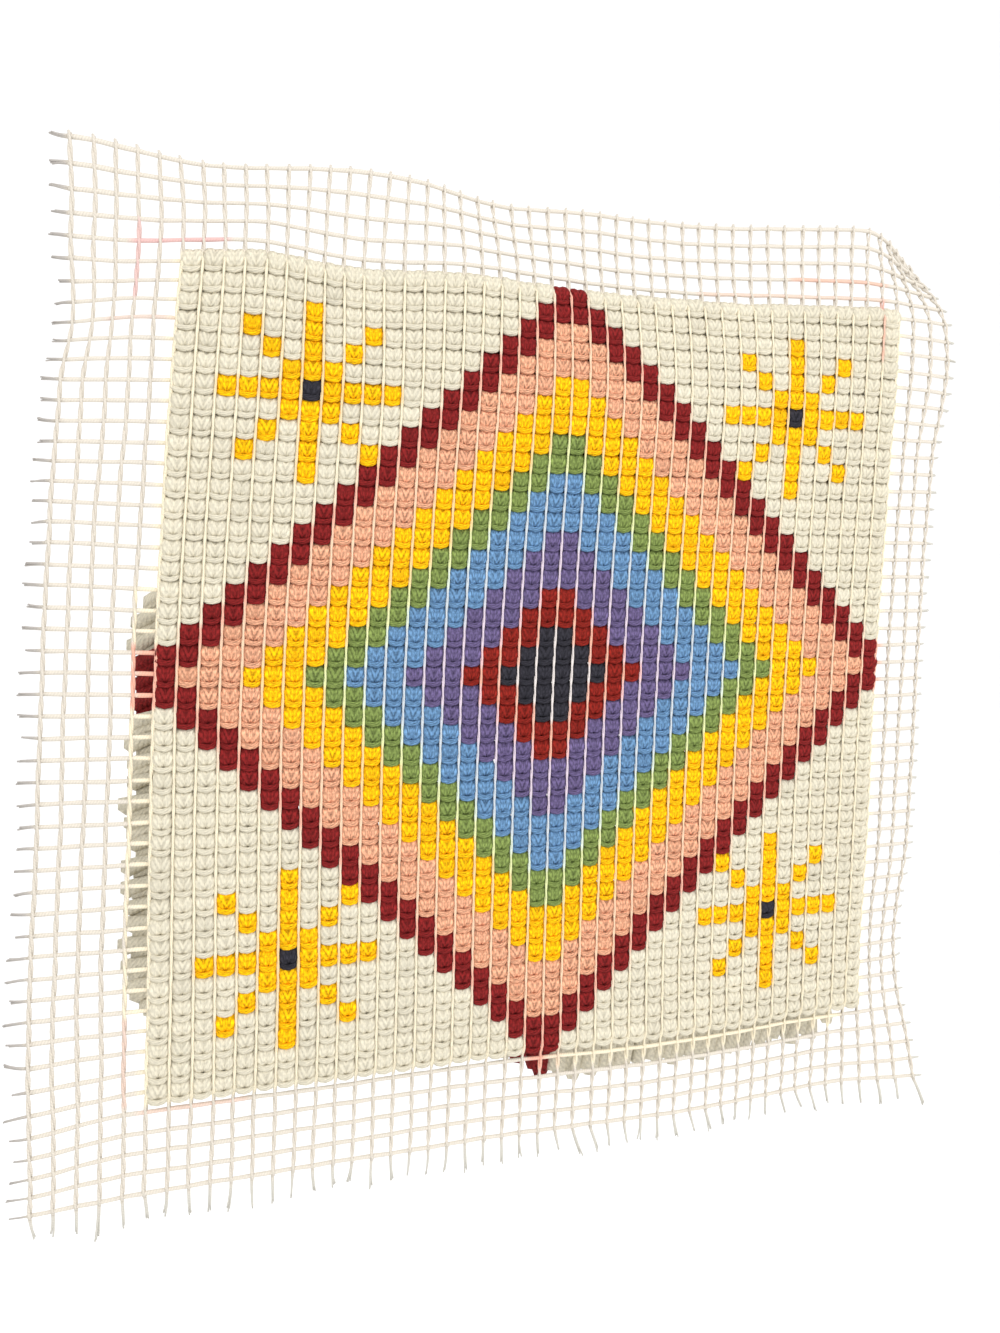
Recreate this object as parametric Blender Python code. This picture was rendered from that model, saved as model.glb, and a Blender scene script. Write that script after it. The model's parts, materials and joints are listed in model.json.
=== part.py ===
"""Latch hook wall hanging: rug canvas, the knots' backs, the pile and the frayed thread ends.

The photographed side, with the knots' backs, faces -Y, and the pile is on +Y. +Z is up. The
origin is on the canvas's top edge, at its middle. A place on the cloth is (u, v, out): columns of
knots from the left, rows of knots from the top, and metres out of the canvas toward the pile.
"""

import math

import bmesh
import bpy
import numpy as np

PITCH = 0.006773  # one hole of a rug canvas with 3.75 holes to the inch
COLUMNS, ROWS = 40, 41  # knots across and down
FIRST_WARP, LAST_WARP = -5, 43  # the outermost threads that run down, as columns
FIRST_WEFT, LAST_WEFT = -4.7, 45.3  # the outermost threads that run across, as rows
RISE, LEAN = math.radians(0.55), math.radians(2.84)  # how far the cloth has gone out of square
CANVAS_THICK = 0.0012
THREAD_HALF = 0.09  # half of a thread's width, in holes
CLEAR = 0.0005  # between the canvas and the yarn on it
GROOVE, CREST = 0.0022, 0.0036  # the knots' backs, at and between the warps
RIB_SIDE = 0.28  # from a warp to where the knots' back is at its highest, in holes
PILE_DEPTH = 0.024
PILE_DROOP = 0.005  # how far the pile's tips hang below their roots
PILE_FLARE = 0.008  # how far the tips at the rim stand out past it
LOCK = 0.0045  # how far the locks at the rim stand out from one another
MID_RING = 0.009  # the height at which the rim's locks have parted
STRIP_GAP, STRIP_WIDE = 0.07, 0.11  # the strip that thread ends are rooted in, in holes
STRIP_HALF = 0.0005
SEED = 41

# name, centre and half width in columns and rows, then how far it moves the cloth, in millimetres
FOLD_COLUMNS = ("name", "u", "v", "wide", "high", "back", "down", "right")
FOLDS = (
    ("top sag", 25, -6, 18, 13, 12, 3.4, -2.8),
    ("top ripple", 9, -1, 6, 8, 2, 2.6, -1.9),
    ("top wave", 16, -7, 6, 7, 2, 4.2, -3.2),
    ("top left dip", 2, -7, 7, 7, 0, 6.7, -1.7),
    ("top left corner", -4, -1, 9, 6, 0, 4.5, 1.3),
    ("top right curl", 45, -7, 8, 8, 26, 11, -5),
    ("left shoulder", -7, 3, 6, 4, 0, 3.6, 4),
    ("left dent", -7, 7.5, 8, 6, 1, 1.8, 1),
    ("left rows", -6, 19, 26, 22, 0, -2.7, -1.1),
    ("left flare", -7, 20, 9, 17, -2, -1.3, 0.8),
    ("side bow", 20, 21, 60, 24, 0, 1.3, -2.7),
    ("right edge top", 45, 3, 6, 6, 0, 2.1, 5.5),
    ("right edge low", 45, 37, 7, 7, 0, -1, -5.3),
    ("bottom left", -8, 38, 12, 16, 0, -0.6, -3.1),
    ("left foot", -7, 42, 7, 6, 0, 4.6, 0.7),
    ("bottom sag", 28, 44, 12, 8, 0, 2.3, 1.3),
    ("bottom right flare", 45, 48, 8, 9, -13, -2.2, 2.1),
)

# the lines that the canvas's web and both layers of yarn share
KEY_COLUMNS = (3, 7, 9, 13, 17, 21, 25, 29, 33, 37)
KEY_ROWS = (1, 3, 5, 7, 11, 15, 21, 27, 32, 38)

MATERIALS = {
    "canvas": (0.80, 0.72, 0.58),
    "knot_backs": (0.80, 0.76, 0.66),
    "pile": (0.76, 0.71, 0.60),
    "ends_left": (0.80, 0.72, 0.58),
    "ends_right": (0.80, 0.72, 0.58),
    "ends_bottom": (0.80, 0.72, 0.58),
}


def hill(t):
    """A smooth hill, 1 at 0 and flat ground from 1 outward."""
    return np.where(np.abs(t) < 1, np.cos(np.clip(t, -1, 1) * math.pi / 2) ** 2, 0.0)


def surface(u, v):
    """The middle of the canvas: a skewed plane with the table's folds on it."""
    across = np.array([math.cos(RISE), 0.0, math.sin(RISE)])
    downward = np.array([-math.sin(LEAN), 0.0, -math.cos(LEAN)])
    at = PITCH * (u[..., None] * across + v[..., None] * downward)
    for fold in FOLDS:
        f = dict(zip(FOLD_COLUMNS, fold))
        share = hill((u - f["u"]) / f["wide"]) * hill((v - f["v"]) / f["high"]) / 1000
        at = at + share[..., None] * np.array([f["right"], f["back"], -f["down"]])
    return at


def place(u, v, out):
    """Points at a distance out of the canvas, with the origin at its top edge's middle."""
    step = 0.05
    right = surface(u + step, v) - surface(u - step, v)
    down = surface(u, v + step) - surface(u, v - step)
    normal = np.cross(right, down)
    normal /= np.linalg.norm(normal, axis=-1, keepdims=True)
    middle = (FIRST_WARP + LAST_WARP) / 2
    origin = surface(np.array(middle), np.array(FIRST_WEFT))
    return surface(u, v) + out[..., None] * normal - origin


def material(name):
    mat = bpy.data.materials.new(name)
    mat.use_nodes = True
    shader = mat.node_tree.nodes["Principled BSDF"]
    shader.inputs["Base Color"].default_value = (*MATERIALS[name], 1.0)
    shader.inputs["Roughness"].default_value = 0.9
    mat.diffuse_color = (*MATERIALS[name], 1.0)
    return mat


def cells(us, vs, rim_us=(), rim_vs=()):
    """A grid's faces as lists of (u, v). Its outer edges also take the rim's own points."""
    faces = []
    for i, (u0, u1) in enumerate(zip(us, us[1:])):
        for j, (v0, v1) in enumerate(zip(vs, vs[1:])):
            across = [u for u in rim_us if u0 + 1e-6 < u < u1 - 1e-6]
            down = [v for v in rim_vs if v0 + 1e-6 < v < v1 - 1e-6]
            face = [(u0, v0)]
            face += [(u, v0) for u in across] if j == 0 else []
            face.append((u1, v0))
            face += [(u1, v) for v in down] if i == len(us) - 2 else []
            face.append((u1, v1))
            face += [(u, v1) for u in reversed(across)] if j == len(vs) - 2 else []
            face.append((u0, v1))
            face += [(u0, v) for v in reversed(down)] if i == 0 else []
            faces.append(face)
    return faces


def rounded(point):
    return round(point[0], 5), round(point[1], 5)


def solid(name, far_faces, near_faces, layers, strands=None):
    """A closed solid between two layers of faces with the same rim.

    layers are functions from (u, v) to (u, v, out), from the near one to the far one. Those in
    between are rings of the rim's wall. strands gives the thread end that grows from a wall's
    face, as rings of four corners and a tip.
    """
    numbers, places, faces = {}, [], []

    def corner(layer, key):
        tag = (layer, rounded(key))
        if tag not in numbers:
            numbers[tag] = len(places)
            places.append(layers[layer](*key))
        return numbers[tag]

    top = len(layers) - 1
    edges = {}
    for face in far_faces:
        faces.append([corner(top, p) for p in face])
        for a, b in zip(face, face[1:] + face[:1]):
            edges[rounded(a), rounded(b)] = (a, b)
    faces += [[corner(0, p) for p in reversed(face)] for face in near_faces]
    for (a, b), (start, end) in edges.items():
        if (b, a) in edges:
            continue
        for low in range(top):
            wall = [(low + 1, end), (low + 1, start), (low, start), (low, end)]
            ring = [corner(*w) for w in wall]
            rings, tip = (strands or {}).get((a, b), ((), None))
            if tip is None:
                faces.append(ring)
                continue
            for more in rings:
                new = list(range(len(places), len(places) + 4))
                places += more
                faces += [[ring[k], ring[k - 3], new[k - 3], new[k]] for k in range(4)]
                ring = new
            places.append(tip)
            faces += [[ring[k], ring[k - 3], len(places) - 1] for k in range(4)]
    spots = np.array(places, float)
    mesh = bpy.data.meshes.new(name)
    mesh.from_pydata(place(*spots.T).tolist(), [], faces)
    check_closed(mesh, name)
    obj = bpy.data.objects.new(name, mesh)
    obj.data.materials.append(material(name))
    bpy.context.scene.collection.objects.link(obj)
    return obj


def check_closed(mesh, name):
    """Turns a solid's faces outward, and stops if it isn't closed."""
    bm = bmesh.new()
    bm.from_mesh(mesh)
    loose = [e for e in bm.edges if len(e.link_faces) != 2]
    if loose:
        raise ValueError(f"{name} has {len(loose)} edges without two faces")
    if bm.calc_volume(signed=True) < 0:
        raise ValueError(f"{name} is inside out")
    bm.to_mesh(mesh)
    bm.free()
    mesh.validate()


def flat_layer(out):
    return lambda u, v: (u, v, out)


def lattice_lines():
    """The canvas's coarse threads: at most twice the real holes apart in the margins."""
    us = [*np.linspace(FIRST_WARP, 0, 4), *np.linspace(0, COLUMNS, 21)[1:]]
    us += [*np.linspace(COLUMNS, LAST_WARP, 3)[1:]]
    vs = [*np.linspace(FIRST_WEFT, 0, 4), *np.linspace(0, ROWS, 22)[1:]]
    vs += [*np.linspace(ROWS, LAST_WEFT, 4)[1:]]
    return [float(u) for u in us], [float(v) for v in vs]


def lattice_faces(us, vs):
    """Crossings and threads of the margins, without those inside the knotted area."""

    def inside(u, v):
        return -1e-6 < u < COLUMNS + 1e-6 and -1e-6 < v < ROWS + 1e-6

    def box(u0, u1, v0, v1):
        return [(u0, v0), (u1, v0), (u1, v1), (u0, v1)]

    h, faces = THREAD_HALF, []
    for i, u in enumerate(us):
        for j, v in enumerate(vs):
            here = inside(u, v)
            if not here:
                faces.append(box(u - h, u + h, v - h, v + h))
            if i + 1 < len(us) and not (here and inside(us[i + 1], v)):
                faces.append(box(u + h, us[i + 1] - h, v - h, v + h))
            if j + 1 < len(vs) and not (here and inside(u, vs[j + 1])):
                faces.append(box(u - h, u + h, v + h, vs[j + 1] - h))
    return faces


def build_canvas():
    """One cut of canvas: a lattice in the margins and a web behind the knots."""
    us, vs = lattice_lines()
    h = THREAD_HALF
    rim_us = [u + s * h for u in us if 0 <= u <= COLUMNS for s in (-1, 1)]
    rim_vs = [v + s * h for v in vs if 0 <= v <= ROWS for s in (-1, 1)]
    web = cells([-h, *KEY_COLUMNS, COLUMNS + h], [-h, *KEY_ROWS, ROWS + h], rim_us, rim_vs)
    faces = lattice_faces(us, vs) + web
    layers = [flat_layer(-CANVAS_THICK / 2), flat_layer(CANVAS_THICK / 2)]
    return solid("canvas", faces, faces, layers)


def build_knot_backs():
    """The folded middles of the knots: a layer of yarn with a rib for each column."""
    inset = 0.04
    us = [inset]
    for column in range(COLUMNS):
        us += [column] if column else []
        us += [column + RIB_SIDE, column + 1 - RIB_SIDE]
    us.append(COLUMNS - inset)
    keys = [inset, *KEY_COLUMNS, COLUMNS - inset]
    vs = [inset, *KEY_ROWS, ROWS - inset]
    grooves = {rounded((u, 0))[0] for u in (inset, *range(COLUMNS + 1), COLUMNS - inset)}

    def front(u, v):
        deep = GROOVE if rounded((u, 0))[0] in grooves else CREST
        return u, v, -(CANVAS_THICK / 2 + CLEAR + deep)

    fine = cells(us, vs)
    coarse = cells(keys, vs, us)
    back = flat_layer(-(CANVAS_THICK / 2 + CLEAR))
    return solid("knot_backs", coarse, fine, [front, back])


def rim_share(at, last, reach=3.5):
    """-1 at the first edge and 1 at the last, falling to 0 at reach columns from them."""
    return max(0.0, 1 - (last - at) / reach) ** 1.5 - max(0.0, 1 - at / reach) ** 1.5


def build_pile():
    """A lumpy slab of cut yarn, with pointed locks at its rim."""
    rng = np.random.default_rng(SEED)
    lumps = rng.normal(0, 1, (COLUMNS + 1, ROWS + 1, 3))
    us, vs = list(range(COLUMNS + 1)), list(range(ROWS + 1))

    def outward(u, v, amount, lock):
        """How far a rim point moves out, as holes across and down."""
        side, drop = rim_share(u, COLUMNS), rim_share(v, ROWS)
        on_rim = u in (0, COLUMNS) or v in (0, ROWS)
        far = amount + (lock * (1 if (u + v) % 2 else -0.45) if on_rim else 0)
        return side * far / PITCH, drop * far / PITCH

    def tips(u, v):
        a, b, c = lumps[u, v]
        side, drop = outward(u, v, PILE_FLARE, LOCK)
        low = max(abs(rim_share(u, COLUMNS, 2)), abs(rim_share(v, ROWS, 2)))
        out = PILE_DEPTH * (1 - 0.28 * low) + 0.0011 * a
        return u + side + 0.09 * b, v + drop + PILE_DROOP / PITCH + 0.09 * c, out

    def parted(u, v):
        side, drop = outward(u, v, 0.5 * PILE_FLARE, 0.35 * LOCK)
        return u + side, v + drop + 0.3 * PILE_DROOP / PITCH, MID_RING

    root = flat_layer(CANVAS_THICK / 2 + CLEAR)
    coarse = cells([0, *KEY_COLUMNS, COLUMNS], [0, *KEY_ROWS, ROWS], us, vs)
    return solid("pile", cells(us, vs), coarse, [root, parted, tips])


def taper(centre, along, wide, thick):
    """Four corners round a thread end: across it by wide, and out of the cloth by thick."""
    u, v = centre
    du, dv = wide * along[1], wide * along[0]
    return [
        (u + du, v + dv, thick),
        (u - du, v - dv, thick),
        (u - du, v - dv, -thick),
        (u + du, v + dv, -thick),
    ]


def build_ends(name, edge, out, starts, length, slant):
    """Frayed thread ends, rooted in a narrow strip along one edge of the canvas.

    edge is where the canvas's outermost thread lies, out is 1 or -1 for the way it faces, starts
    are the places of the ends along it, and length and slant are in holes.
    """
    downward = name == "ends_bottom"
    near = edge + out * (THREAD_HALF + STRIP_GAP)
    far = near + out * STRIP_WIDE
    half = 0.07
    ends = [min(starts) - THREAD_HALF, max(starts) + THREAD_HALF]
    fine = [p for s in starts for p in (s - half, s + half)]
    keys = [ends[0], *[s + 0.5 for s in starts[1:-1:2]], ends[1]]
    points = sorted(fine + keys)
    low, high = min(near, far), max(near, far)
    faces = []
    for a, b in zip(keys, keys[1:]):
        between = [p for p in points if a < p < b]
        if downward:
            faces.append([(a, low), (b, low), (b, high), *[(p, high) for p in between[::-1]], (a, high)])
        elif out < 0:
            faces.append([(low, a), (high, a), (high, b), (low, b), *[(low, p) for p in between[::-1]]])
        else:
            faces.append([(low, a), (high, a), *[(high, p) for p in between], (high, b), (low, b)])
    rng = np.random.default_rng(SEED + len(name))
    strands = {}
    for s in starts:
        reach = length * rng.uniform(0.85, 1.12)
        lean = slant(s) + rng.normal(0, 0.06)
        sag = rng.normal(0, 0.0008)
        if downward:
            key = (rounded((s + half, high)), rounded((s - half, high)))
            middle = (s + 0.4 * lean, far + 0.5 * reach)
            tip = (s + lean, far + reach, sag)
            ring = taper(middle, (0, -1), half * 0.9, STRIP_HALF)
        else:
            pair = (rounded((far, s + half)), rounded((far, s - half)))
            key = pair if out < 0 else pair[::-1]
            middle = (far + out * 0.5 * reach, s + 0.4 * lean)
            tip = (far + out * reach, s + lean, sag)
            ring = taper(middle, (out, 0), half * 0.9, STRIP_HALF)
        strands[key] = ([ring], tip)
    layers = [flat_layer(-STRIP_HALF), flat_layer(STRIP_HALF)]
    return solid(name, faces, faces, layers, strands)


def build():
    for obj in list(bpy.data.objects):
        bpy.data.objects.remove(obj, do_unlink=True)
    build_canvas()
    build_knot_backs()
    build_pile()
    wefts = [FIRST_WEFT + k for k in range(round(LAST_WEFT - FIRST_WEFT) + 1)]
    warps = [FIRST_WARP + k for k in range(LAST_WARP - FIRST_WARP + 1)]
    build_ends("ends_left", FIRST_WARP, -1, wefts, 0.58, lambda v: 0.05)
    build_ends("ends_right", LAST_WARP, 1, wefts, 0.26, lambda v: 0.03)
    build_ends("ends_bottom", LAST_WEFT, 1, warps, 1.1, lambda u: 0.15 + 0.45 * (u > 8))


build()
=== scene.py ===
"""The looks of a latch hook wall hanging: canvas threads, knots, pile, frayed ends and a stage.

A place on the cloth is (u, v, out): columns of knots from the left, rows of knots from the top,
and metres out of the canvas toward the pile. The photographed side, with the knots' backs, faces
-Y, and heights on that side are given as up, which is minus out.
"""

import json
import math

import bpy
import numpy as np
from bpy.props import FloatProperty, FloatVectorProperty, PointerProperty
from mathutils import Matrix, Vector

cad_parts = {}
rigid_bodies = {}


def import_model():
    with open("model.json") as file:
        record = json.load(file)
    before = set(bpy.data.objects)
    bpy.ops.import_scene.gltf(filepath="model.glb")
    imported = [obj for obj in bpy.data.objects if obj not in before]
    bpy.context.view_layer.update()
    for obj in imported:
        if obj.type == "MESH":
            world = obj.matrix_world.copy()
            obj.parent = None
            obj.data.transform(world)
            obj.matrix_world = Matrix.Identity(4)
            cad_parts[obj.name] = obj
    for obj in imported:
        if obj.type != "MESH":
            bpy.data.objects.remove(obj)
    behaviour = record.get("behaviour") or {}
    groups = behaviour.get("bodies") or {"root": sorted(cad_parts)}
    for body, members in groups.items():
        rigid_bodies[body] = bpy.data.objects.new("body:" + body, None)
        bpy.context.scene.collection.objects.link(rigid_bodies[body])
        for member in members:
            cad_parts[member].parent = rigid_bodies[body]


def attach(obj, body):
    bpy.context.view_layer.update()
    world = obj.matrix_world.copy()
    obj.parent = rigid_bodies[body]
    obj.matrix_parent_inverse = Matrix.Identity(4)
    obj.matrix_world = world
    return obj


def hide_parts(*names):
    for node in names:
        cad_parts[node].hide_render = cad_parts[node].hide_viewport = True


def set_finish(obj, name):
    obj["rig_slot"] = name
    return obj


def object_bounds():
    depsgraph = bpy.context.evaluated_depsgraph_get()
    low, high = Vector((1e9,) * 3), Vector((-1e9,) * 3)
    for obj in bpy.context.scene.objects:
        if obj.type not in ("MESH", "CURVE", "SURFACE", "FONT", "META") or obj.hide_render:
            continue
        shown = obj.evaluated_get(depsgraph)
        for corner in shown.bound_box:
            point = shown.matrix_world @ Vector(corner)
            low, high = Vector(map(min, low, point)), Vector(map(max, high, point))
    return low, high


bl_info = {
    "name": "Latch hook wall hanging",
    "version": (1, 0, 0),
    "blender": (4, 5, 0),
    "location": "3D View > Sidebar > Hanging",
    "description": "Canvas, knots, pile and frayed ends of a latch hook wall hanging",
    "category": "Add Mesh",
}

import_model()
CAD_BOX = [list(corner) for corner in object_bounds()]

PITCH = 0.006773  # one hole of the canvas
COLUMNS, ROWS = 40, 41
FIRST_WARP, LAST_WARP = -5, 43
FIRST_WEFT, LAST_WEFT = -4.7, 45.3
WEFT_AT = 0.3  # where in a row of knots its weft lies
RISE, LEAN = math.radians(0.55), math.radians(2.84)
SEED = 7

# name, centre and half width in columns and rows, then how far it moves the cloth, in millimetres
FOLD_COLUMNS = ("name", "u", "v", "wide", "high", "back", "down", "right")
FOLDS = (
    ("top sag", 25, -6, 18, 13, 12, 3.4, -2.8),
    ("top ripple", 9, -1, 6, 8, 2, 2.6, -1.9),
    ("top wave", 16, -7, 6, 7, 2, 4.2, -3.2),
    ("top left dip", 2, -7, 7, 7, 0, 6.7, -1.7),
    ("top left corner", -4, -1, 9, 6, 0, 4.5, 1.3),
    ("top right curl", 45, -7, 8, 8, 26, 11, -5),
    ("left shoulder", -7, 3, 6, 4, 0, 3.6, 4),
    ("left dent", -7, 7.5, 8, 6, 1, 1.8, 1),
    ("left rows", -6, 19, 26, 22, 0, -2.7, -1.1),
    ("left flare", -7, 20, 9, 17, -2, -1.3, 0.8),
    ("side bow", 20, 21, 60, 24, 0, 1.3, -2.7),
    ("right edge top", 45, 3, 6, 6, 0, 2.1, 5.5),
    ("right edge low", 45, 37, 7, 7, 0, -1, -5.3),
    ("bottom left", -8, 38, 12, 16, 0, -0.6, -3.1),
    ("left foot", -7, 42, 7, 6, 0, 4.6, 0.7),
    ("bottom sag", 28, 44, 12, 8, 0, 2.3, 1.3),
    ("bottom right flare", 45, 48, 8, 9, -13, -2.2, 2.1),
)

# one side of a knot's back: across and down from the middle of its cell's top edge in holes,
# then its height off the canvas and its half sizes in millimetres
STRAND_COLUMNS = ("across", "down", "up", "wide", "thick")
LEG = (
    (0.20, -0.20, -0.40, 2.00, 0.80),
    (0.21, -0.02, 0.45, 2.25, 0.95),
    (0.215, 0.18, 1.20, 2.35, 1.05),
    (0.21, 0.38, 1.20, 2.35, 1.05),
    (0.19, 0.56, 0.70, 2.10, 0.95),
    (0.16, 0.75, 0.00, 1.70, 0.80),
)
BIGHT = (
    (-0.47, 0.54, -0.30, 0.60, 0.60),
    (-0.42, 0.68, 0.80, 0.90, 0.80),
    (-0.24, 0.78, 1.40, 1.02, 0.95),
    (0.0, 0.82, 1.60, 1.05, 1.00),
    (0.24, 0.78, 1.40, 1.02, 0.95),
    (0.42, 0.68, 0.80, 0.90, 0.80),
    (0.47, 0.54, -0.30, 0.60, 0.60),
)

# a knot's own random numbers, and how far each moves or changes its strands
DRAWS = ("size", "turn", "tall", "across", "down", "rise", "fat", "shade")
KNOT_SPREAD = {
    "size": 0.035,
    "turn": 0.05,
    "tall": 0.02,
    "across": 0.014,
    "down": 0.02,
    "rise": 0.06,
    "fat": 0.05,
}

# the same for the cut ends of the pile, and how much more even the ends in view are
PILE_SPREAD = {"flare": 0.25, "lean": 0.30, "depth": 0.15, "fat": 0.08}
CALMER = {"flare": 0.6, "lean": 0.7}

# how far the pile's tips stand outward at each rim, as shares of the flare, and how much farther
# where they are in view
TIPS_OUT = {
    "right": 0.5, "left": -0.7, "left in view": 1.7, "top": 1.0, "bottom": 0.15, "bottom in view": 1.2,
}

# marks of a pen on the canvas: the thread, where the mark runs, how strong it is, and its colour
INK_COLUMNS = ("along", "thread", "start", "end", "strength", "red", "green", "blue")
INK = (
    ("weft", -0.7, -2.1, 2.35, 0.60, 0.78, 0.36, 0.38),
    ("warp", -2.0, -1.7, 2.3, 0.50, 0.80, 0.40, 0.42),
    ("weft", 3.3, -3.2, 0.0, 0.25, 0.82, 0.45, 0.40),
    ("weft", -1.7, 33.3, 39.5, 0.55, 0.85, 0.40, 0.28),
    ("weft", -0.7, 28.0, 39.5, 0.30, 0.86, 0.46, 0.34),
    ("warp", 39.0, -0.7, 3.0, 0.60, 0.85, 0.38, 0.30),
    ("warp", -1.0, 36.5, 41.0, 0.35, 0.86, 0.48, 0.38),
    ("weft", 41.3, -0.5, 4.5, 0.35, 0.86, 0.48, 0.38),
)

# the bands of the diamond from its middle outward, and how many knots wide each is
BANDS = ("charcoal", "brick", "violet", "blue", "green", "yellow", "peach")
BAND_WIDE = 2.65
STARS = ((6, 6), (33, 6), (6, 34), (33, 34))  # columns and rows of the stars' middles

# where the pile shows past the knots: these rows at the left, these columns at the bottom
LEFT_TUFTS = (16.0, 36.5)
BOTTOM_TUFTS = (19.3, 38.6)

YARNS = ("ivory", "yellow", "dark_red", "brick", "peach", "green", "blue", "violet", "charcoal")
# how light the painted shade leaves the grooves between a yarn's plies, and how strong
# the contrast of its fibres is
PALE_YARN = (0.90, 0.9)
STRONG_YARN = (0.76, 2.9)
END_RADIUS = 0.0004  # of one loose ply of a frayed end

# the way that the photographed side faces, as (across, down, out)
FRONT = (0, 0, -1)

# each light's place from the middle of the knots in metres, and its share of the main power
LIGHT_COLUMNS = ("name", "right", "back", "up", "share")
LIGHTS = (
    ("main_light", -0.45, -0.9, 0.85, 1.0),
    ("side_light", 0.75, -0.8, 0.1, 0.65),
    ("back_light", 0.2, 0.9, 0.5, 0.6),
)
LAMP_SIZE = 0.9

# the camera: the photograph's height and the focal length in its pixels, the place of the eye
# from the middle of the knots in metres, and the way that it looks
PHOTO_HIGH = 1333
FOCAL_PIXELS = 1020.75
SENSOR_HIGH = 24.0
EYE = (-0.12731, -0.34598, 0.02025)
GAZE = (0.290234, 0.955671, -0.04956)


def srgb(red, green, blue):
    """A display colour from 0 to 255 as a linear one: the display's curve, undone."""
    share = np.array([red, green, blue]) / 255
    return tuple(np.where(share > 0.04045, ((share + 0.055) / 1.055) ** 2.4, share / 12.92))


def colour_property(name, description, rgb):
    return FloatVectorProperty(
        name=name, description=description, subtype="COLOR", size=3, min=0, max=1,
        default=srgb(*rgb),
    )


def length_property(name, description, default):
    return FloatProperty(
        name=name, description=description, unit="LENGTH", min=0.0001, default=default
    )


class YarnSettings(bpy.types.PropertyGroup):
    """Colours and sizes of the yarn."""

    ivory: colour_property("Ivory", "Yarn of the ground", (211, 204, 184))
    yellow: colour_property("Yellow", "Yarn of the stars and a band", (244, 184, 8))
    dark_red: colour_property("Dark red", "Yarn of the rim of the diamond", (122, 30, 30))
    brick: colour_property("Brick red", "Yarn of a band", (128, 32, 24))
    peach: colour_property("Peach", "Yarn of a band", (218, 160, 128))
    green: colour_property("Sage green", "Yarn of a band", (119, 136, 73))
    blue: colour_property("Cornflower blue", "Yarn of a band", (98, 135, 172))
    violet: colour_property("Violet", "Yarn of a band", (98, 86, 124))
    charcoal: colour_property("Charcoal", "Yarn of the darkest knots", (46, 45, 52))
    pile_depth: length_property("Pile depth", "From the canvas to the tips", 0.0235)
    pile_droop: length_property("Pile droop", "How far the tips hang down", 0.005)
    pile_flare: length_property("Pile flare", "How far the rim's tips stand out", 0.009)
    tuft_root: length_property("Tuft root", "Radius of a cut end at its root", 0.0014)
    tuft_tip: length_property("Tuft tip", "Radius of a cut end at its tip", 0.0026)


class CanvasSettings(bpy.types.PropertyGroup):
    """Colours and sizes of the canvas's threads."""

    cotton: colour_property("Cotton", "Canvas thread in the margins", (220, 212, 199))
    bright: colour_property("Bright cotton", "Canvas thread among the knots", (232, 219, 190))
    left_ends: colour_property("Left ends", "Cut ends at the left", (178, 172, 166))
    other_ends: colour_property("Other ends", "Cut ends at the right and bottom", (206, 203, 193))
    warp_radius: length_property("Warp radius", "Radius of one of a warp's two strands", 0.00036)
    weft_radius: length_property("Weft radius", "Radius of a weft", 0.00058)
    fuller: FloatProperty(
        name="Fuller margins", description="How much thicker threads are with no yarn on them",
        default=0.32,
    )


class StageSettings(bpy.types.PropertyGroup):
    """Colours of the floor and the backdrop."""

    floor: colour_property("Floor", "Floor and backdrop", (247, 247, 247))
    light: FloatProperty(
        name="Light", description="Power of the main light", unit="POWER", default=6.5
    )


def hill(t):
    """A smooth hill: the cosine squared, 1 at 0 and flat ground from 1 outward."""
    return np.where(np.abs(t) < 1, np.cos(np.clip(t, -1, 1) * math.pi / 2) ** 2, 0.0)


def plane(u, v):
    """The skewed plane of the canvas without its folds."""
    across = np.array([math.cos(RISE), 0.0, math.sin(RISE)])
    downward = np.array([-math.sin(LEAN), 0.0, -math.cos(LEAN)])
    return PITCH * (u[..., None] * across + v[..., None] * downward)


def surface(u, v):
    """The middle of the canvas: the plane plus, for each fold, a hill across times a hill down
    times the fold's move."""
    at = plane(u, v)
    for fold in FOLDS:
        f = dict(zip(FOLD_COLUMNS, fold))
        share = hill((u - f["u"]) / f["wide"]) * hill((v - f["v"]) / f["high"]) / 1000
        at += share[..., None] * np.array([f["right"], f["back"], -f["down"]])
    return at


def cloth_origin():
    middle = (FIRST_WARP + LAST_WARP) / 2
    return surface(np.array(middle), np.array(FIRST_WEFT))


def place(points):
    """Points as metres (across, down, out) on the flat cloth, moved onto its folds: the surface
    there plus out times the surface's unit normal."""
    u, v, out = points[..., 0] / PITCH, points[..., 1] / PITCH, points[..., 2]
    step = 0.05
    right = surface(u + step, v) - surface(u - step, v)
    down = surface(u, v + step) - surface(u, v - step)
    normal = np.cross(right, down)
    normal /= np.linalg.norm(normal, axis=-1, keepdims=True)
    return surface(u, v) + out[..., None] * normal - cloth_origin()


def tubes(paths, radii, sides, up):
    """Rings of points round many paths at once.

    paths is (tube, step, 3), radii (tube, step, 2) holds a ring's half size along its own up and
    across it, and up is the way that the rings' first point faces. A ring is its centre plus the
    cosine of the angle times up plus its sine times the side, both square to the path.
    """
    along = np.gradient(paths, axis=1)
    along /= np.linalg.norm(along, axis=-1, keepdims=True)
    side = np.cross(along, np.broadcast_to(up, paths.shape))
    side /= np.linalg.norm(side, axis=-1, keepdims=True)
    top = np.cross(side, along)
    angle = np.arange(sides) * 2 * math.pi / sides
    upward = np.cos(angle)[:, None] * (radii[..., :1] * top)[..., None, :]
    sideward = np.sin(angle)[:, None] * (radii[..., 1:] * side)[..., None, :]
    return paths[..., None, :] + upward + sideward


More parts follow.
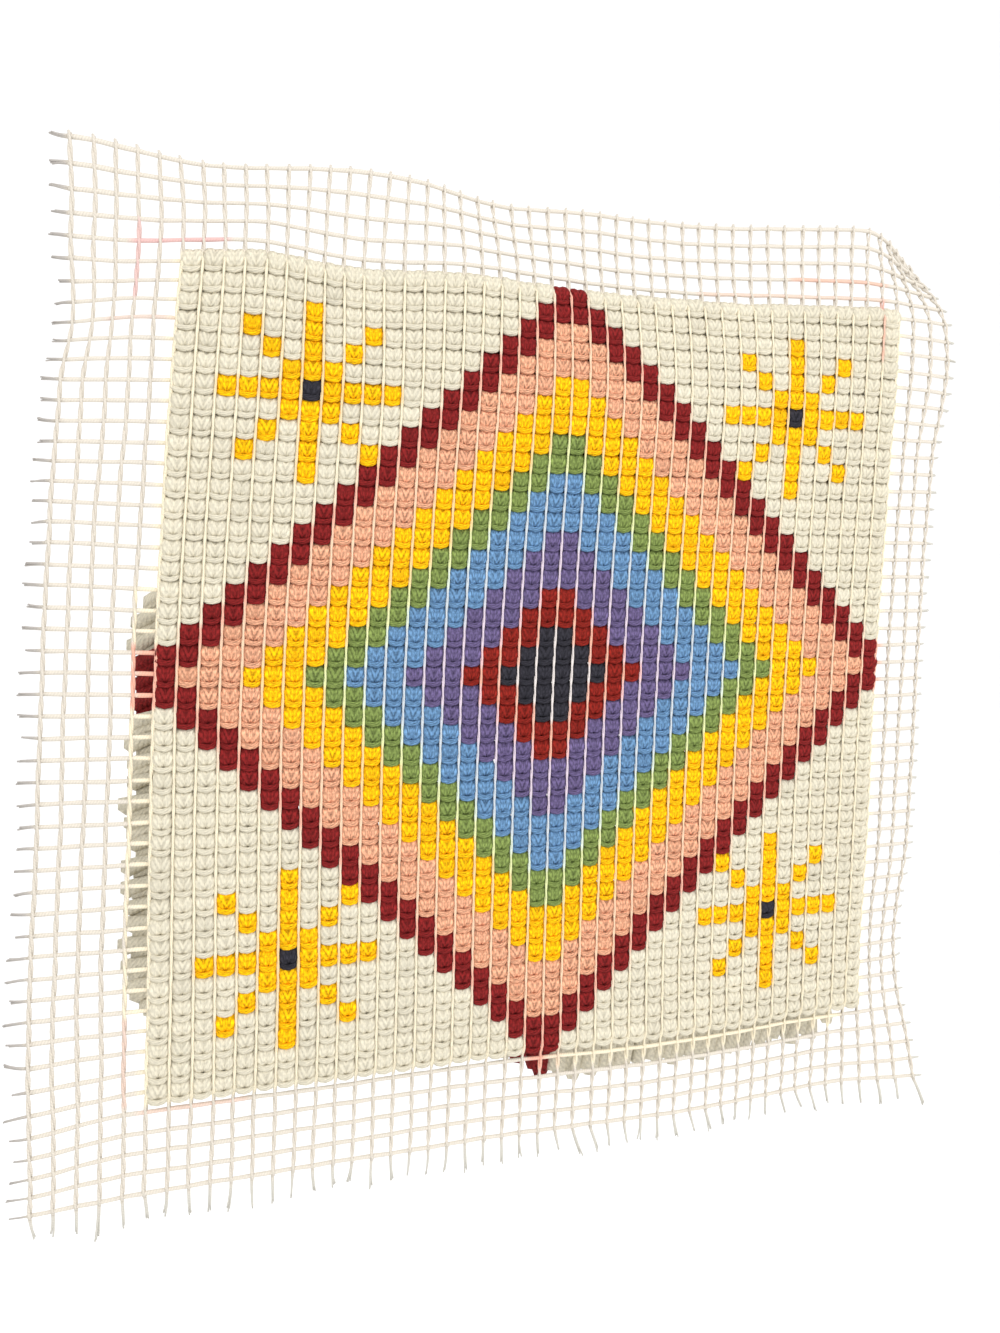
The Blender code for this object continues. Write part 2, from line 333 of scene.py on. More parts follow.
def tube_faces(count, steps, sides):
    """Corner numbers of the quads between rings, and of the two end faces of each tube."""
    ring = np.arange(sides)
    after = (ring + 1) % sides
    level = np.arange(steps - 1)[:, None] * sides
    quads = np.stack([level + ring, level + after, level + sides + after, level + sides + ring], -1)
    first = (np.arange(count) * steps * sides)[:, None]
    quads = first[..., None] + quads.reshape(-1, 4)[None]
    starts = first + ring[::-1]
    ends = first + (steps - 1) * sides + ring
    return quads.reshape(-1, 4), np.concatenate([starts, ends])


def tube_uvs(paths, sides, wraps, hand):
    """For each corner of tube_faces: how far along the tube in millimetres, and the turn round
    it from 0 to 1, or from 0 to -1 where hand is -1 and the yarn's twist is mirrored."""
    count, steps = paths.shape[:2]
    lengths = np.linalg.norm(np.diff(paths, axis=1), axis=-1)
    run = np.concatenate([np.zeros((count, 1)), np.cumsum(lengths, axis=1)], 1) * 1000 + wraps
    ring = hand * np.arange(sides) / sides
    low, high = run[:, :-1, None], run[:, 1:, None]
    here, after = ring[None, None], ring[None, None] + hand / sides
    shape = (count, steps - 1, sides)
    corners = [(low, here), (low, after), (high, after), (high, here)]
    quads = np.stack(
        [np.stack([np.broadcast_to(x, shape), np.broadcast_to(y, shape)], -1) for x, y in corners], 3
    )
    starts = np.stack(np.broadcast_arrays(run[:, :1], ring[::-1][None]), -1)
    ends = np.stack(np.broadcast_arrays(run[:, -1:], ring[None]), -1)
    return quads.reshape(-1, 2), np.concatenate([starts, ends]).reshape(-1, 2)


class Strands:
    """Tubes gathered for one mesh, with their texture places and point values."""

    def __init__(self):
        self.points, self.quads, self.ends, self.quad_uvs, self.end_uvs = [], [], [], [], []
        self.values = {}
        self.count = 0

    def add(self, paths, radii, sides, up, wraps=0.0, hand=1, **values):
        """Adds tubes. values are one number or colour for each path point."""
        rings = place(tubes(paths, radii, sides, up))
        quads, ends = tube_faces(len(paths), paths.shape[1], sides)
        quad_uvs, end_uvs = tube_uvs(paths, sides, np.reshape(wraps, (-1, 1)), hand)
        self.points.append(rings.reshape(-1, 3))
        self.quads.append(quads + self.count)
        self.ends.append((ends + self.count).astype(np.int64))
        self.quad_uvs.append(quad_uvs)
        self.end_uvs.append(end_uvs)
        for name, value in values.items():
            spread = np.repeat(value[:, :, None], sides, axis=2)
            self.values.setdefault(name, []).append(spread.reshape(rings.size // 3, -1))
        self.count += rings.size // 3

    def build(self, name, material):
        """Turns the gathered arrays into one closed, smooth mesh object."""
        mesh = bpy.data.meshes.new(name)
        points = np.concatenate(self.points)
        groups = [*self.quads, *self.ends]
        loops = np.concatenate([g.ravel() for g in groups])
        sizes = np.concatenate([np.full(len(g), g.shape[1]) for g in groups])
        mesh.vertices.add(len(points))
        mesh.vertices.foreach_set("co", points.ravel())
        mesh.loops.add(len(loops))
        mesh.loops.foreach_set("vertex_index", loops.astype(np.int32))
        mesh.polygons.add(len(sizes))
        starts = np.concatenate([[0], np.cumsum(sizes)[:-1]])
        mesh.polygons.foreach_set("loop_start", starts.astype(np.int32))
        uvs = mesh.uv_layers.new(name="strand")
        uvs.data.foreach_set("uv", np.concatenate([*self.quad_uvs, *self.end_uvs]).ravel())
        for key, parts in self.values.items():
            value = np.concatenate(parts)
            if value.shape[1] == 1:
                mesh.attributes.new(key, "FLOAT", "POINT").data.foreach_set("value", value.ravel())
            else:
                full = np.concatenate([value, np.ones((len(value), 1))], 1)
                made = mesh.attributes.new(key, "FLOAT_COLOR", "POINT")
                made.data.foreach_set("color", full.ravel())
        mesh.polygons.foreach_set("use_smooth", sizes == 4)
        mesh.materials.append(material)
        mesh.update(calc_edges=True)
        if mesh.validate():
            raise ValueError(f"{name} has faces that Blender had to mend")
        piece = bpy.data.objects.new(name, mesh)
        bpy.context.scene.collection.objects.link(piece)
        return piece


def link(tree, kind, inputs=(), **settings):
    """A node with its settings. inputs map a socket to a value or to another node's socket."""
    made = tree.nodes.new(kind)
    for key, value in settings.items():
        setattr(made, key, value)
    for socket, value in dict(inputs).items():
        if isinstance(value, bpy.types.NodeSocket):
            tree.links.new(value, made.inputs[socket])
        else:
            made.inputs[socket].default_value = value
    return made


def math_node(tree, operation, first, second=0.0, third=0.0):
    inputs = {0: first, 1: second, 2: third}
    return link(tree, "ShaderNodeMath", inputs, operation=operation).outputs[0]


def new_material(name):
    material = bpy.data.materials.new(name)
    material.use_nodes = True
    tree = material.node_tree
    return material, tree, tree.nodes["Principled BSDF"]


def strand_places(tree):
    """The along and round texture places of a strand."""
    uv = link(tree, "ShaderNodeUVMap", uv_map="strand").outputs[0]
    split = link(tree, "ShaderNodeSeparateXYZ", {0: uv})
    return split.outputs[0], split.outputs[1]


def stretched_noise(tree, along, around, per_mm, per_turn, shade):
    """Noise drawn out along the strand, as loose fibres are."""
    x = math_node(tree, "MULTIPLY", along, per_mm)
    angle = math_node(tree, "MULTIPLY", around, 2 * math.pi)
    y = math_node(tree, "MULTIPLY", math_node(tree, "COSINE", angle), per_turn)
    z = math_node(tree, "MULTIPLY_ADD", math_node(tree, "SINE", angle), per_turn, shade)
    spot = link(tree, "ShaderNodeCombineXYZ", {0: x, 1: y, 2: z}).outputs[0]
    inputs = {"Vector": spot, "Scale": 1.0, "Detail": 3.0, "Roughness": 0.6}
    return link(tree, "ShaderNodeTexNoise", inputs).outputs[0]


def finish_material(tree, shader, colour, light, bump, plain):
    """Joins the colour times the light and a bump to the shader, and sets its plain values."""
    tint = link(tree, "ShaderNodeVectorMath", {0: colour, "Scale": light}, operation="SCALE")
    tree.links.new(tint.outputs[0], shader.inputs["Base Color"])
    bumped = link(tree, "ShaderNodeBump", bump)
    tree.links.new(bumped.outputs[0], shader.inputs["Normal"])
    for socket, value in plain.items():
        shader.inputs[socket].default_value = value


def yarn_material(name, colour, painted_groove_light, fuzz):
    """Plied rug yarn: painted shade in the grooves between the plies, fibres along them whose
    contrast is fuzz, and a soft rim. The painted shade leaves the grooves as light as the plies
    times the given share."""
    turns_per_mm, plies, wandering, knot_spread = 0.05, 7.0, 0.10, 0.022
    material, tree, shader = new_material(name)
    along, around = strand_places(tree)
    shade = link(tree, "ShaderNodeAttribute", attribute_name="shade").outputs["Fac"]
    turn = math_node(tree, "MULTIPLY_ADD", along, turns_per_mm, around)
    fibres = stretched_noise(tree, along, around, 0.9, 2.6, shade)
    wander = math_node(tree, "MULTIPLY_ADD", fibres, wandering, turn)
    wave = math_node(tree, "SINE", math_node(tree, "MULTIPLY", wander, 2 * math.pi * plies))
    ply = link(
        tree, "ShaderNodeMapRange", {0: wave, 1: -1.0, 2: 0.3, 3: 0.0, 4: 1.0},
        interpolation_type="SMOOTHSTEP",
    ).outputs[0]
    fine = stretched_noise(tree, along, around, 0.8, 3.0, shade)
    # painted shade: the grooves between the plies are darkened in the yarn's own colour
    painted_groove_shade = math_node(tree, "MULTIPLY_ADD", ply, 1 - painted_groove_light, painted_groove_light)
    fibre_light = math_node(tree, "MULTIPLY_ADD", fine, fuzz, 1 - fuzz / 2)
    knot_light = math_node(tree, "MULTIPLY_ADD", shade, knot_spread, 1.0)
    strand_light = math_node(tree, "MULTIPLY", painted_groove_shade, fibre_light)
    light = math_node(tree, "MULTIPLY", strand_light, knot_light)
    height = math_node(tree, "MULTIPLY_ADD", fine, 0.5, ply)
    bump = {"Height": height, "Strength": 0.55, "Distance": 0.0004}
    plain = {
        "Roughness": 0.92,
        "Specular IOR Level": 0.15,
        "Sheen Weight": 0.25,
        "Sheen Roughness": 0.6,
        "Sheen Tint": (*colour, 1.0),
    }
    finish_material(tree, shader, colour, light, bump, plain)
    return material


def thread_material(name):
    """Cotton thread: its painted tint, two twisted plies with painted shade in the grooves between
    them, fibres, and a few dark specks.
    """
    turns_per_mm, plies = 0.55, 2
    material, tree, shader = new_material(name)
    along, around = strand_places(tree)
    paint = link(tree, "ShaderNodeAttribute", attribute_name="paint").outputs["Color"]
    turn = math_node(tree, "MULTIPLY_ADD", along, turns_per_mm, around)
    wave = math_node(tree, "SINE", math_node(tree, "MULTIPLY", turn, 2 * math.pi * plies))
    fine = stretched_noise(tree, along, around, 1.6, 5.0, 0.0)
    speck = stretched_noise(tree, along, around, 0.9, 0.8, 3.0)
    speck_range = {0: speck, 1: 0.66, 2: 0.74, 3: 1.0, 4: 0.72}
    speck_light = link(tree, "ShaderNodeMapRange", speck_range).outputs[0]
    # painted shade in the grooves between the two plies
    painted_groove_shade = math_node(tree, "MULTIPLY_ADD", wave, 0.07, 0.93)
    fibre_light = math_node(tree, "MULTIPLY_ADD", fine, 0.35, 0.82)
    strand_light = math_node(tree, "MULTIPLY", painted_groove_shade, fibre_light)
    light = math_node(tree, "MULTIPLY", strand_light, speck_light)
    height = math_node(tree, "MULTIPLY_ADD", wave, 0.5, fine)
    bump = {"Height": height, "Strength": 0.45, "Distance": 0.00012}
    plain = {"Roughness": 0.85, "Specular IOR Level": 0.2, "Sheen Weight": 0.15}
    finish_material(tree, shader, paint, light, bump, plain)
    return material


def cells():
    """The column and the row of every knot, as grids."""
    return np.meshgrid(np.arange(COLUMNS), np.arange(ROWS), indexing="ij")


def knot_colours():
    """The name of each knot's yarn, by column and row.

    The ground is ivory. A diamond of bands lies in the middle: the band's number is the sum of
    the distances across and down from the centre, divided by a band's width. Each corner has a
    star of eight points, four straight and four slanting, with a charcoal middle.
    """
    column, row = cells()
    names = np.full((COLUMNS, ROWS), "ivory", dtype=object)
    far = np.abs(column - (COLUMNS - 1) / 2) + np.abs(row - (ROWS - 1) / 2)
    band = (far / BAND_WIDE).astype(int)
    for number, name in enumerate(BANDS):
        names[band == number] = name
    names[band == len(BANDS)] = "dark_red"
    names[band > len(BANDS)] = "ivory"
    for across, down in STARS:
        x, y = np.abs(column - across), np.abs(row - down)
        star = (x + y <= 2) | ((x == y) & (x <= 3)) | ((x * y == 0) & (x + y <= 4))
        names[star] = "yellow"
        names[x + y == 0] = "charcoal"
    return names


def knot_grid():
    """The knots' columns and rows as flat arrays, with their own fixed unevenness."""
    column, row = (grid.ravel() for grid in cells())
    rng = np.random.default_rng(SEED)
    return column, row, rng.normal(0, 1, (len(column), len(DRAWS)))


def draw(uneven, name):
    """One of the knots' own random numbers, as a column."""
    at = DRAWS.index(name)
    return uneven[:, at:at + 1]


def knot_strands(rows, mirror, column, row, uneven):
    """Paths and half sizes of one strand of every knot.

    A path point is the knot's cell, plus the table's place scaled and turned a little by the
    knot's own unevenness, in metres across, down and out.
    """
    table = dict(zip(STRAND_COLUMNS, np.array(rows, float).T))
    off = {name: spread * draw(uneven, name) for name, spread in KNOT_SPREAD.items()}
    x = mirror * table["across"] * (1 + off["size"])
    y = 0.5 + (table["down"] - 0.5) * (1 + off["tall"])
    u = column[:, None] + 0.5 + off["across"] + x - off["turn"] * (y - 0.5)
    v = row[:, None] + off["down"] + y + off["turn"] * x
    out = -table["up"] * (1 + off["rise"]) / 1000
    fat = 1 + off["fat"]
    radii = np.stack([table["thick"] * fat, table["wide"] * fat], -1) / 1000
    return np.stack([u * PITCH, v * PITCH, out], -1), radii


def add_knot_backs(strands, column, row, uneven):
    """Two slanting legs, twisted as mirror images, and the curved bight below them, for every
    given knot. wraps is where along the yarn's pattern a strand starts, in millimetres."""
    shade = draw(uneven, "shade")
    parts = ((LEG, 1, 0.0, -1), (LEG, -1, 0.0, 1), (BIGHT, 1, 6.7, 1))
    for rows, mirror, wraps, hand in parts:
        paths, radii = knot_strands(rows, mirror, column, row, uneven)
        level = np.repeat(shade, paths.shape[1], axis=1)
        strands.add(paths, radii, 6, FRONT, wraps + 2 * shade, hand, shade=level)


def rim_share(at, reach=3.5):
    """1 up to 0.7 holes from an edge that is at holes away, then falling to 0."""
    return np.clip(1 - (at - 0.7) / reach, 0, 1) ** 1.5


def window(at, span, soft=1.5):
    """1 inside a span and 0 outside it, with a slope at both of its ends."""
    return np.clip(np.minimum(at - span[0], span[1] - at) / soft + 0.5, 0, 1)


def add_pile(strands, column, row, uneven, yarn, side):
    """One of each knot's two cut ends: out from the canvas, and with a power of the way along,
    down by the droop, outward near the rim by the flare, and aside by its own lean. The flare is
    small where the pile stays hidden behind the knots, and the ends in view are fuller."""
    rng = np.random.default_rng(SEED + 2 + side)
    lean = rng.normal(0, 1, (COLUMNS * ROWS, 4))[column * ROWS + row]
    t = np.linspace(0, 1, 6)[None]
    u = column[:, None] + 0.5 + 0.2 * side
    v = row[:, None] + WEFT_AT + 0.15
    left = rim_share(u) * window(v, LEFT_TUFTS)
    bottom = rim_share(ROWS - v) * window(u, BOTTOM_TUFTS)
    full = np.maximum(left, bottom)
    calm = {name: 1 - share * full for name, share in CALMER.items()}
    flare = yarn.pile_flare / PITCH * (1 + PILE_SPREAD["flare"] * calm["flare"] * lean[:, 3:4])
    lean = PILE_SPREAD["lean"] * calm["lean"] * lean[:, :3]
    right_share, left_share = rim_share(COLUMNS - u), rim_share(u)
    low_share, top_share = rim_share(ROWS - v), rim_share(v)
    rightward = TIPS_OUT["right"] * right_share - TIPS_OUT["left in view"] * left
    rightward -= TIPS_OUT["left"] * left_share
    downward = TIPS_OUT["bottom in view"] * bottom + TIPS_OUT["bottom"] * low_share
    downward -= TIPS_OUT["top"] * top_share
    u_end = rightward * flare + lean[:, :1]
    v_end = downward * flare + yarn.pile_droop / PITCH + lean[:, 1:2]
    v = v + side * (0.08 + 0.14 * left)
    edge = np.minimum(np.minimum(u, COLUMNS - u), np.minimum(v, ROWS - v))
    low = 0.22 * rim_share(edge, 2) + 0.18 * bottom
    deep = yarn.pile_depth * (1 - low) * (1 + PILE_SPREAD["depth"] * lean[:, 2:3])
    bend = t ** 1.8
    root = 0.0006
    out = root + (deep - root) * t ** 0.9
    paths = np.stack([(u + u_end * bend) * PITCH, (v + v_end * bend) * PITCH, out], -1)
    radius = yarn.tuft_root + (yarn.tuft_tip - yarn.tuft_root) * t ** 1.5
    radius = radius * (1 + PILE_SPREAD["fat"] * draw(uneven, "fat")) * (1 + 0.25 * full)
    shade = np.repeat(draw(uneven, "shade"), t.shape[1], axis=1)
    wraps = 13 * lean[:, :1]
    strands.add(paths, np.stack([radius, radius], -1), 5, (1, 0, 0), wraps, shade=shade)


def yarn_settings():
    return bpy.context.scene.hanging_yarn


def finished(piece, node, slot):
    """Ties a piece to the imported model's one body, and to the solid that it stands for."""
    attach(piece, "root")
    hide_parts(node)
    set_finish(piece, slot)


def canvas_paint(u, v):
    """Colour of a canvas thread at a place: cotton in the margins, and among the knots bright
    cotton mixed with the hue of the yarn on both sides at full lightness. This is painted light
    reflected from the yarn, together with the yarn's fibres that cling to the thread. The threads
    that cross the pile's tufts in view count as among the knots."""
    # share of painted light reflected from the yarn, with its fibres that cling to the thread
    yarn_light_and_fluff = 0.38
    settings, yarn = bpy.context.scene.hanging_canvas, yarn_settings()
    names = knot_colours()
    grid = np.zeros((COLUMNS, ROWS, 3))
    for name in YARNS:
        grid[names == name] = getattr(yarn, name)
    left = np.clip(np.round(u).astype(int) - 1, 0, COLUMNS - 1)
    right = np.clip(np.round(u).astype(int), 0, COLUMNS - 1)
    row = np.clip(np.floor(v).astype(int), 0, ROWS - 1)
    near = (grid[left, row] + grid[right, row]) / 2
    # the yarn's hue at full lightness: the colour of the light reflected from it
    near /= near.max(axis=-1, keepdims=True)
    inside = (u > -0.5) & (u < COLUMNS + 0.5) & (v > 0) & (v < ROWS)
    inside |= (np.abs(u + 0.5) < 0.55) & (window(v, LEFT_TUFTS, 0.1) > 0)
    inside |= (np.abs(v - ROWS) < 0.8) & (window(u, BOTTOM_TUFTS, 0.1) > 0)
    tinted = np.array(settings.bright) * (1 - yarn_light_and_fluff) + near * yarn_light_and_fluff
    return np.where(inside[..., None], tinted, np.array(settings.cotton))


def ink(paint, along, thread, run):
    """Adds the pen's marks: where a mark lies on this thread, its strength's share of its
    colour."""
    for mark in INK:
        m = dict(zip(INK_COLUMNS, mark))
        if m["along"] != along:
            continue
        on = np.abs(thread - m["thread"]) < 0.05
        on = on & (run > m["start"]) & (run < m["end"])
        share = np.where(on, m["strength"], 0.0)[..., None]
        paint[:] = paint * (1 - share) + np.array([m["red"], m["green"], m["blue"]]) * share
    return paint


def warp_lines():
    return np.arange(FIRST_WARP, LAST_WARP + 1).astype(float)


def weft_lines():
    return FIRST_WEFT + np.arange(round(LAST_WEFT - FIRST_WEFT) + 1)


def knotted(u, v, soft=0.4):
    """1 inside the knotted area and 0 in the margins, with a short slope between."""
    across = np.minimum(u + 0.2, COLUMNS + 0.2 - u)
    down = np.minimum(v, ROWS - v)
    return np.clip(np.minimum(across, down) / soft, 0, 1)


def sway(thread, run, size):
    """A slow unevenness of a thread from side to side: three sine waves of its own."""
    rng = np.random.default_rng(SEED + 20)
    parts = rng.uniform(0, 2 * math.pi, (200, 3))
    index = (np.round(thread).astype(int) + 50) % 200
    waves = [np.sin(run * k + parts[index, i][..., None]) for i, k in enumerate((0.37, 0.83, 1.9))]
    return size * (waves[0] + 0.6 * waves[1] + 0.4 * waves[2])


def warp_strand(settings, strand, start, end, per_hole=3):
    """One of the two strands of each warp. They change sides between wefts: across is the sine
    and up the cosine of half a turn for each row, and in the knotted area both lie higher."""
    u0 = warp_lines()
    count = int(round((end - start) * per_hole)) + 1
    v = np.linspace(start, end, count)[None] + np.zeros((len(u0), 1))
    phase = math.pi * (v - WEFT_AT) + math.pi * strand
    inside = knotted(u0[:, None], v)
    swing = 0.00034 - 0.00019 * inside
    wave = 0.00078 - 0.0005 * inside
    raised = 0.0019 * inside
    u = u0[:, None] + swing * np.sin(phase) / PITCH + sway(u0, v, 0.028) * (1 - 0.6 * inside)
    height = wave * np.cos(phase) + raised
    paths = np.stack([u * PITCH, v * PITCH, -height], -1)
    radius = settings.warp_radius * (1 + 0.06 * np.sin(3.1 * v + u0[:, None]))
    radius *= 1 + settings.fuller * (1 - inside)
    radii = np.stack([radius, radius], -1)
    paint = ink(canvas_paint(u, v), "warp", u0[:, None], v)
    return paths, radii, paint


def weft_strand(settings, start, end, per_hole=2):
    """Each weft, which runs straight between the strands of the warps."""
    v0 = weft_lines()
    count = int(round((end - start) * per_hole)) + 1
    u = np.linspace(start, end, count)[None] + np.zeros((len(v0), 1))
    inside = knotted(u, v0[:, None])
    v = v0[:, None] + sway(v0, u, 0.022) * (1 - inside)
    height = 0.00012 * np.cos(math.pi * u) * (1 - inside)
    paths = np.stack([u * PITCH, v * PITCH, -height], -1)
    radius = settings.weft_radius * (1 + 0.07 * np.sin(2.3 * u + v0[:, None]))
    radius *= 1 + settings.fuller * (1 - inside)
    paint = ink(canvas_paint(u, v), "weft", v0[:, None], u)
    return paths, np.stack([radius, radius], -1), paint


class HANGING_OT_canvas(bpy.types.Operator):
    """Makes the open canvas of twisted warps and straight wefts"""

    bl_idname = "hanging.canvas"
    bl_label = "Canvas"

    def execute(self, context):
        settings = context.scene.hanging_canvas
        strands = Strands()
        for strand in (0, 1):
            paths, radii, paint = warp_strand(settings, strand, FIRST_WEFT - 0.2, LAST_WEFT + 0.15)
            strands.add(paths, radii, 4, FRONT, 5.0 * strand, paint=paint)
        paths, radii, paint = weft_strand(settings, FIRST_WARP - 0.1, LAST_WARP + 0.1)
        strands.add(paths, radii, 5, FRONT, paint=paint)
        piece = strands.build("canvas_threads", thread_material("canvas_cotton"))
        finished(piece, "canvas", "canvas")
        return {"FINISHED"}


def frayed(starts, ways, lengths, colours, seed, plies=3):
    """Loose plies of cut threads: from a start along a way, all bending off together and each a
    little to its own side with the square of the distance, and from one colour to another."""
    rng = np.random.default_rng(seed)
    bend = np.repeat(rng.normal(0, 0.05, (len(starts), 3)), plies, axis=0)
    starts = np.repeat(starts, plies, axis=0)
    ways = np.repeat(ways, plies, axis=0)
    lengths = np.repeat(lengths, plies) * rng.uniform(0.88, 1.06, len(starts))
    t = np.linspace(0, 1, 5)[None, :, None]
    angle = np.arange(len(starts)) * 2 * math.pi / plies
    ring = END_RADIUS * np.stack([np.cos(angle), np.sin(angle), np.sin(angle)], -1)[:, None]
    aside = (bend + rng.normal(0, 0.035, bend.shape))[:, None]
    reach = lengths[:, None, None] * (ways[:, None] * t + aside * t ** 2)
    paths = starts[:, None] + 0.5 * ring + reach
    radius = END_RADIUS * (1 - 0.3 * t[..., 0]) * np.ones((len(starts), 1))
    share = np.clip(3 * t, 0, 1)
    paint = np.array(colours[0]) * (1 - share) + np.array(colours[1]) * share
    paint = np.broadcast_to(paint, paths.shape)
    return paths, np.stack([radius, radius], -1), paint


def build_ends(node, material, u, v, ways, lengths, colour, seed):
    """The frayed ends of one edge, which start at columns u and rows v, as a finished piece."""
    cotton = bpy.context.scene.hanging_canvas.cotton
    starts = np.stack([u * PITCH, v * PITCH, np.zeros(len(u))], -1)
    paths, radii, paint = frayed(starts, ways, lengths, (cotton, colour), seed)
    strands = Strands()
    strands.add(paths, radii, 4, FRONT, paint=paint)
    finished(strands.build(node + "_threads", material), node, "thread_ends")


class HANGING_OT_thread_ends(bpy.types.Operator):
    """Makes the frayed ends of the threads at the left, right and lower edges"""

    bl_idname = "hanging.thread_ends"
    bl_label = "Thread ends"

    def execute(self, context):
        settings = context.scene.hanging_canvas
        material = thread_material("frayed_cotton")
        rng = np.random.default_rng(SEED + 5)
        wefts, warps = weft_lines(), warp_lines()
        sides = (
            ("ends_left", FIRST_WARP - 0.05, -1.0, 0.88, settings.left_ends),
            ("ends_right", LAST_WARP + 0.05, 1.0, 0.42, settings.other_ends),
        )
        for node, edge, out, length, colour in sides:
            ways = np.array([[out, 0.0, 0.0]]) + rng.normal(0, 0.05, (len(wefts), 3))
            lengths = length * PITCH * rng.uniform(0.8, 1.15, len(wefts))
            edges = np.full(len(wefts), edge)
            build_ends(node, material, edges, wefts, ways, lengths, colour, SEED + 6)
        slant = 0.06 + 0.16 * (1 + np.sin(0.9 * warps)) * (warps > 18)
        ways = np.stack([slant, np.ones(len(warps)), 0 * warps], -1)
        ways += rng.normal(0, 0.05, ways.shape)
        lengths = 1.35 * PITCH * rng.uniform(0.88, 1.1, len(warps))
        edges = np.full(len(warps), LAST_WEFT + 0.1)
        colour = settings.other_ends
        build_ends("ends_bottom", material, warps, edges, ways, lengths, colour, SEED + 7)
        return {"FINISHED"}


class HANGING_OT_knot_backs(bpy.types.Operator):
    """Makes the backs of the knots, one piece for each colour of yarn"""

    bl_idname = "hanging.knot_backs"
    bl_label = "Knot backs"

    def execute(self, context):
        names, yarn = knot_colours().ravel(), yarn_settings()
        column, row, uneven = knot_grid()
        for name in YARNS:
            on = names == name
            strands = Strands()
            add_knot_backs(strands, column[on], row[on], uneven[on])
            looks = PALE_YARN if name == "ivory" else STRONG_YARN
            material = yarn_material("yarn_" + name, tuple(getattr(yarn, name)), *looks)
            finished(strands.build("knots_" + name, material), "knot_backs", "knot_backs")
        return {"FINISHED"}


class HANGING_OT_pile(bpy.types.Operator):
    """Makes the cut pile on the far side, one piece for each colour of yarn"""

    bl_idname = "hanging.pile"
    bl_label = "Pile"

    def execute(self, context):
        names, yarn = knot_colours().ravel(), yarn_settings()
        column, row, uneven = knot_grid()
        for name in YARNS:
            on = names == name
            strands = Strands()
            for side in (-1, 1):
                add_pile(strands, column[on], row[on], uneven[on], yarn, side)
            piece = strands.build("pile_" + name, bpy.data.materials["yarn_" + name])
            finished(piece, "pile", "pile")
        return {"FINISHED"}


def declare_cloth():
    on_it = [o for o in bpy.data.objects if o.name.startswith(("knots_", "pile_", "ends_"))]
    on_it = [o for o in on_it if "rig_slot" in o]


class HANGING_OT_stage(bpy.types.Operator):
    """Makes the floor with its backdrop, the lights and the camera"""

    bl_idname = "hanging.stage"
    bl_label = "Stage"

    def execute(self, context):
        scene = context.scene
        settings = scene.hanging_stage
        make_floor(tuple(settings.floor))
        middle = plane(np.array(COLUMNS / 2), np.array(ROWS / 2)) - cloth_origin()
        for light in LIGHTS:
            lamp = dict(zip(LIGHT_COLUMNS, light))
            at = middle + (lamp["right"], lamp["back"], lamp["up"])
            add_light(lamp["name"], at, middle, lamp["share"] * settings.light)
        world = bpy.data.worlds.new("soft_light")
        world.use_nodes = True
        world.node_tree.nodes["Background"].inputs["Color"].default_value = (1.0, 1.0, 1.0, 1.0)
        world.node_tree.nodes["Background"].inputs["Strength"].default_value = 1.05
        scene.world = world
        camera = bpy.data.cameras.new("camera")
        camera.sensor_fit = "VERTICAL"
        camera.sensor_height = SENSOR_HIGH
        camera.lens = SENSOR_HIGH * FOCAL_PIXELS / PHOTO_HIGH
        camera.clip_start = 0.01
        eye = bpy.data.objects.new("camera", camera)
        scene.collection.objects.link(eye)
        eye.location = middle + EYE
        eye.rotation_euler = Vector(GAZE).to_track_quat("-Z", "Y").to_euler()
        scene.camera = eye
        scene.view_settings.view_transform = "Standard"
        return {"FINISHED"}


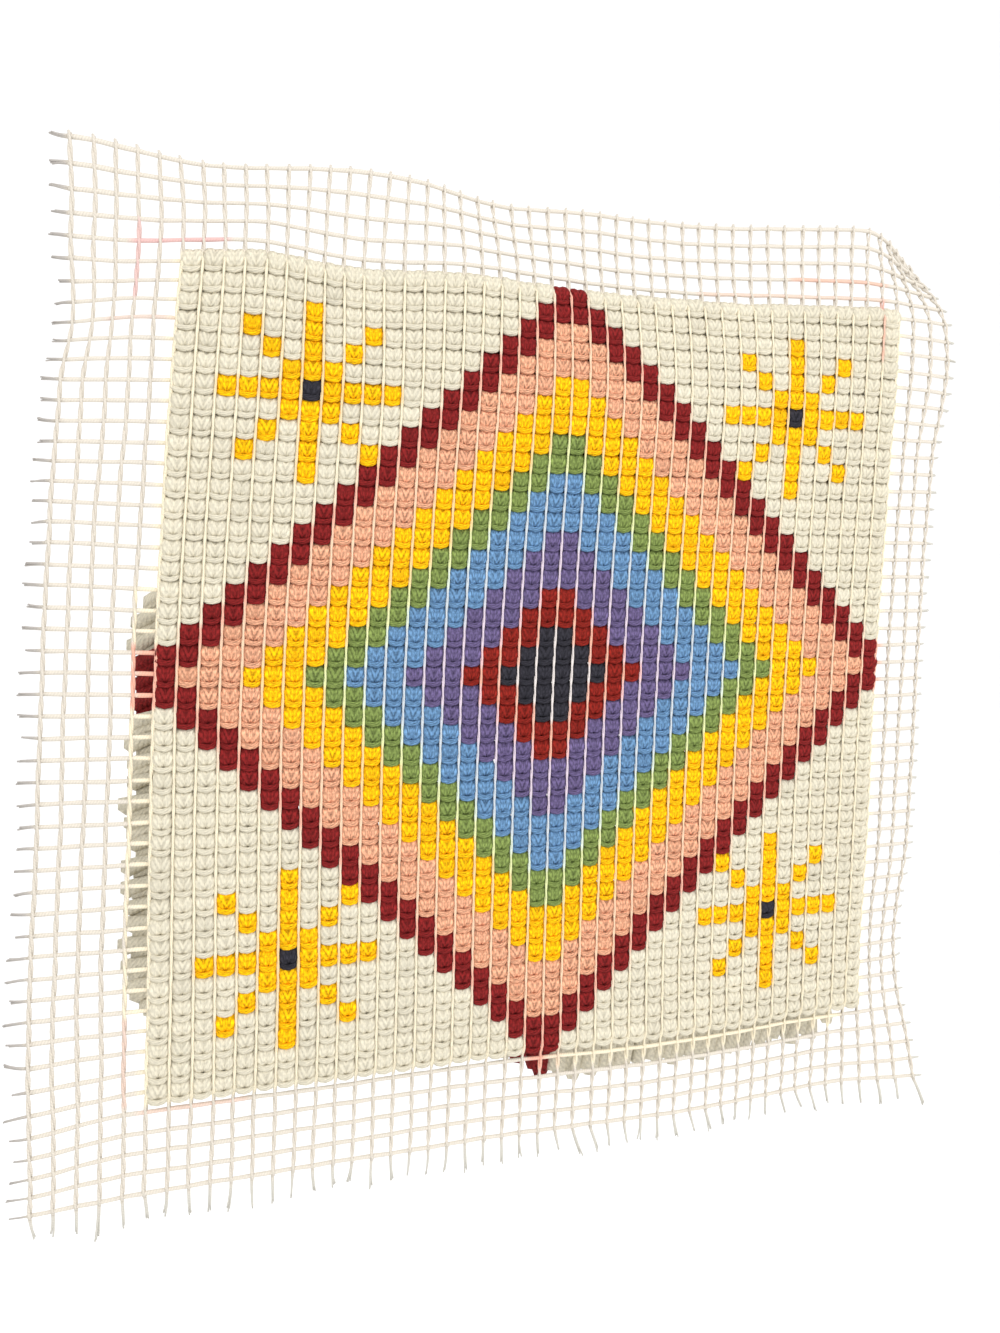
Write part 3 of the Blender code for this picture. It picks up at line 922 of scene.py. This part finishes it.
def make_floor(colour):
    """A floor that curves up into a backdrop behind the hanging."""
    floor_z, bend = CAD_BOX[0][2] - 0.35, 0.4
    front_y, back_y, half_wide, high = -3.0, 1.5, 3.5, 3.5
    angle = np.linspace(0, math.pi / 2, 12)
    y = np.concatenate([[front_y], back_y - bend + bend * np.sin(angle), [back_y]])
    z = np.concatenate([[floor_z], floor_z + bend - bend * np.cos(angle), [floor_z + high]])
    x = np.array([-half_wide, half_wide])
    points = [(a, b, c) for b, c in zip(y, z) for a in x]
    faces = [(2 * k, 2 * k + 1, 2 * k + 3, 2 * k + 2) for k in range(len(y) - 1)]
    mesh = bpy.data.meshes.new("backdrop")
    mesh.from_pydata(points, [], faces)
    mesh.polygons.foreach_set("use_smooth", [True] * len(faces))
    material, _, shader = new_material("backdrop")
    shader.inputs["Base Color"].default_value = (*colour, 1.0)
    shader.inputs["Roughness"].default_value = 0.95
    mesh.materials.append(material)
    floor = bpy.data.objects.new("backdrop", mesh)
    bpy.context.scene.collection.objects.link(floor)


def add_light(name, at, aim, power):
    """A square lamp at a place, turned to the point that it aims at."""
    lamp = bpy.data.lights.new(name, "AREA")
    lamp.size = LAMP_SIZE
    lamp.energy = power
    light = bpy.data.objects.new(name, lamp)
    bpy.context.scene.collection.objects.link(light)
    light.location = at
    light.rotation_euler = Vector(aim - at).to_track_quat("-Z", "Y").to_euler()


OPERATORS = (
    HANGING_OT_canvas,
    HANGING_OT_thread_ends,
    HANGING_OT_knot_backs,
    HANGING_OT_pile,
    HANGING_OT_stage,
)


class HANGING_PT_pieces(bpy.types.Panel):
    """Lists the hanging's pieces"""

    bl_idname = "HANGING_PT_pieces"
    bl_label = "Latch hook hanging"
    bl_space_type = "VIEW_3D"
    bl_region_type = "UI"
    bl_category = "Hanging"

    def draw(self, context):
        for operator in OPERATORS:
            self.layout.operator(operator.bl_idname)


GROUPS = {
    "hanging_yarn": YarnSettings,
    "hanging_canvas": CanvasSettings,
    "hanging_stage": StageSettings,
}


def register():
    for group in GROUPS.values():
        bpy.utils.register_class(group)
    for name, group in GROUPS.items():
        setattr(bpy.types.Scene, name, PointerProperty(type=group))
    for item in (*OPERATORS, HANGING_PT_pieces):
        bpy.utils.register_class(item)


def unregister():
    for item in (HANGING_PT_pieces, *reversed(OPERATORS)):
        bpy.utils.unregister_class(item)
    for name in GROUPS:
        delattr(bpy.types.Scene, name)
    for group in reversed(GROUPS.values()):
        bpy.utils.unregister_class(group)


def main():
    register()
    bpy.ops.hanging.canvas()
    bpy.ops.hanging.thread_ends()
    bpy.ops.hanging.knot_backs()
    bpy.ops.hanging.pile()
    bpy.ops.hanging.stage()
    declare_cloth()


if __name__ == "__main__":
    main()
